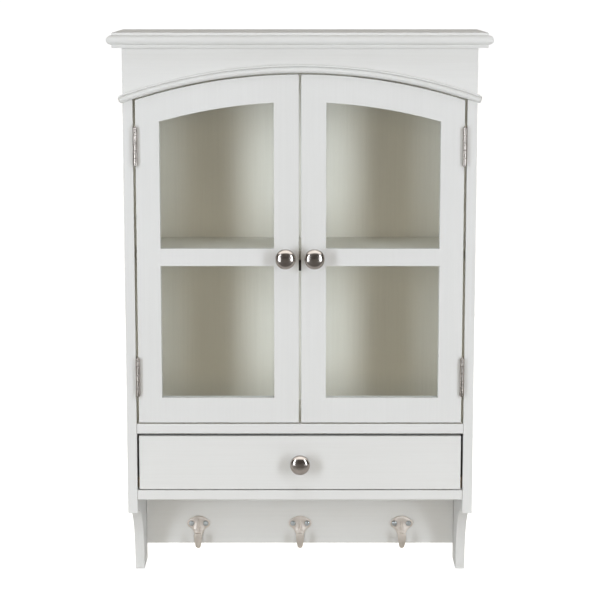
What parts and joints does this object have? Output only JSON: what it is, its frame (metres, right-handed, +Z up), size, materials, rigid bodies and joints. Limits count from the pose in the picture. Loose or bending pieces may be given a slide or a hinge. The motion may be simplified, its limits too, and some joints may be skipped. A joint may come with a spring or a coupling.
{
  "type": "wall key cabinet",
  "caption": "White wooden wall cabinet with arched glazed double doors, a shelf, a drawer and an open rail of key hooks below.",
  "frame": {"origin": "centre of the hanging rail's back face, which lies on the wall", "axes": "+Z up, +Y into the wall, -Y out of the front, +X to the right when facing the doors"},
  "size_m": [0.499, 0.1853, 0.75],
  "materials": {
    "paint": "satin white paint on wood, faint vertical brush lines",
    "bare_wood": "pale sanded wood",
    "back_board": "off-white thin fibreboard",
    "nickel": "dark satin nickel",
    "zinc": "cast, nickel plated and satin",
    "steel": "bright plated steel",
    "catch_plastic": "dark brown moulded plastic",
    "glass": "clear flat pane"
  },
  "bodies": {
    "cabinet": {"side_panel_left": "paint", "side_panel_right": "paint", "side_moulding_left": "paint", "side_moulding_right": "paint", "top_board": "paint", "frieze_board": "paint", "arch_moulding": "paint", "bottom_board": "paint", "cabinet_floor": "paint", "shelf": "paint", "back_panel": "back_board", "hanging_rail": "paint", "hanger_plate_left": "steel", "hanger_plate_right": "steel", "hook_rail": "paint", "drawer_guide_left": "bare_wood", "drawer_guide_right": "bare_wood", "magnetic_catch": "catch_plastic", "hook_left": "zinc", "hook_centre": "zinc", "hook_right": "zinc", "hook_left_screw_left": "steel", "hook_left_screw_right": "steel", "hook_centre_screw_left": "steel", "hook_centre_screw_right": "steel", "hook_right_screw_left": "steel", "hook_right_screw_right": "steel", "left_upper_hinge_frame_leaf": "nickel", "left_lower_hinge_frame_leaf": "nickel", "right_upper_hinge_frame_leaf": "nickel", "right_lower_hinge_frame_leaf": "nickel", "left_upper_hinge_pin": "nickel", "left_lower_hinge_pin": "nickel", "right_upper_hinge_pin": "nickel", "right_lower_hinge_pin": "nickel"},
    "left_door": {"left_door_frame": "paint", "left_door_glass": "glass", "left_door_glazing_bead": "paint", "left_door_knob": "nickel", "left_door_knob_screw": "steel", "left_door_strike_plate": "steel", "left_upper_hinge_door_leaf": "nickel", "left_lower_hinge_door_leaf": "nickel"},
    "right_door": {"right_door_frame": "paint", "right_door_glass": "glass", "right_door_glazing_bead": "paint", "right_door_knob": "nickel", "right_door_knob_screw": "steel", "right_door_strike_plate": "steel", "right_upper_hinge_door_leaf": "nickel", "right_lower_hinge_door_leaf": "nickel"},
    "drawer": {"drawer_front": "paint", "drawer_side_left": "bare_wood", "drawer_side_right": "bare_wood", "drawer_back": "bare_wood", "drawer_bottom": "back_board", "drawer_knob": "nickel", "drawer_knob_screw": "steel"}
  },
  "joints": [
    {"name": "left_door_hinge", "type": "hinge", "parent": "cabinet", "child": "left_door", "pos_m": [-0.2149, -0.1634, -0.25575], "axis": [0, 0, -1], "range_deg": [0, 110]},
    {"name": "right_door_hinge", "type": "hinge", "parent": "cabinet", "child": "right_door", "pos_m": [0.2149, -0.1634, -0.25575], "axis": [0, 0, 1], "range_deg": [0, 110]},
    {"name": "drawer_slide", "type": "slide", "parent": "cabinet", "child": "drawer", "axis": [0, -1, 0], "range_m": [0, 0.105]}
  ]
}
